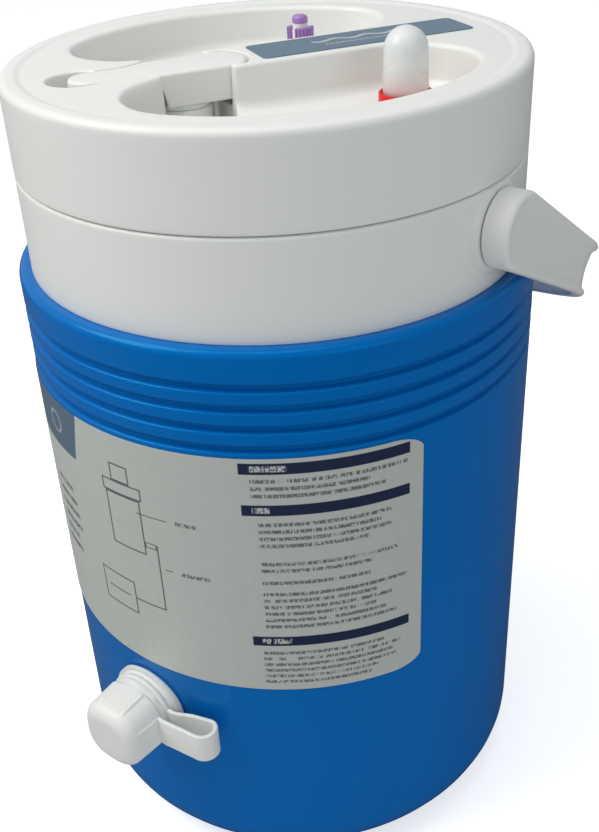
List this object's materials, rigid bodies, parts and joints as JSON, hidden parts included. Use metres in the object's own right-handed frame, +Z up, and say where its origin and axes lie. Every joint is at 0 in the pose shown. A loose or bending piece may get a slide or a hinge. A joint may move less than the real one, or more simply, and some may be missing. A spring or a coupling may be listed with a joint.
{
  "type": "hot cold therapy machine",
  "caption": "Insulated hot cold therapy jug with a screw lid, flip spout lever, air vent, push relief valve, swing handle and capped hose outlet.",
  "frame": {"origin": "centre of the base, on the plane it stands on", "axes": "+Z up, -Y towards the hose outlet, X along the handle's trunnions"},
  "size_m": [0.191, 0.2185, 0.2997],
  "materials": {
    "blue_shell": "smooth blown polyethylene with a soft gloss",
    "white_plastic": "satin moulded polypropylene",
    "tub_white": "smooth",
    "foam": "rigid closed-cell foam",
    "front_label": "printed silver-grey film",
    "lid_label": "printed slate-blue film",
    "steel": "plain stainless pins",
    "spring_steel": "drawn wire",
    "seal_grey": "silicone",
    "seal_black": "nitrile rubber",
    "red_plastic": "glossy moulded",
    "clear_cap": "milky translucent",
    "purple_plastic": "glossy moulded",
    "poppet_grey": "moulded"
  },
  "bodies": {
    "jug": {"outer_shell": "blue_shell", "insulation_foam": "foam", "inner_tub": "tub_white", "collar": "white_plastic", "front_label": "front_label", "pivot_pins": "steel", "outlet_fitting": "white_plastic", "outlet_gasket": "seal_grey", "outlet_inner_gasket": "seal_grey", "outlet_nut": "white_plastic", "outlet_spring": "spring_steel", "outlet_spring_seat": "white_plastic", "cap_strap": "white_plastic"},
    "handle": {"handle_bail": "white_plastic"},
    "seal_ring": {"lid_gasket": "seal_grey"},
    "lid": {"lid_shell": "white_plastic", "lid_liner": "tub_white", "lid_foam": "foam", "lid_label": "lid_label", "lever_hinge_pin": "steel", "vent_base": "red_plastic", "vent_nut": "red_plastic", "relief_body": "white_plastic", "relief_sleeve": "purple_plastic", "relief_nut": "white_plastic", "relief_spring": "spring_steel"},
    "lever": {"spout_lever": "white_plastic", "spout_stopper": "seal_grey"},
    "vent_top": {"vent_cap": "clear_cap"},
    "push_button": {"relief_button": "purple_plastic", "relief_seal": "seal_black"},
    "poppet": {"outlet_poppet": "poppet_grey", "outlet_o_ring": "seal_black"},
    "cap": {"outlet_cap": "white_plastic"}
  },
  "joints": [
    {"name": "handle_swing", "type": "hinge", "parent": "jug", "child": "handle", "pos_m": [0, 0, 0.2467], "axis": [1, 0, 0], "range_deg": [0, 242]},
    {"name": "lid_lift", "type": "slide", "parent": "jug", "child": "seal_ring", "axis": [0, 0, 1], "range_m": [0, 0.0071]},
    {"name": "lid_turn", "type": "hinge", "parent": "seal_ring", "child": "lid", "pos_m": [0, 0, 0.2604], "axis": [0, 0, 1], "range_deg": [0, 180]},
    {"name": "lever_flip", "type": "hinge", "parent": "lid", "child": "lever", "pos_m": [-0.00644, -0.01071, 0.2865], "axis": [-0.8572, 0.515, 0], "range_deg": [0, 90]},
    {"name": "vent_cap_pull", "type": "slide", "parent": "lid", "child": "vent_top", "axis": [0, 0, 1], "range_m": [0, 0.012]},
    {"name": "relief_press", "type": "slide", "parent": "lid", "child": "push_button", "axis": [0, 0, -1], "range_m": [0, 0.0015], "stiffness_N_per_m": 500, "deforming": ["relief_spring"]},
    {"name": "cap_pull", "type": "slide", "parent": "jug", "child": "cap", "axis": [0, -1, 0], "range_m": [0, 0.016], "deforming": ["cap_strap"]},
    {"name": "outlet_valve", "type": "slide", "parent": "jug", "child": "poppet", "axis": [0, 1, 0], "range_m": [0, 0.003], "stiffness_N_per_m": 300, "deforming": ["outlet_spring"]}
  ],
  "couplings": [
    {"joint": "lid_lift", "follows": "lid_turn", "m_per_rad": 0.0022282}
  ]
}
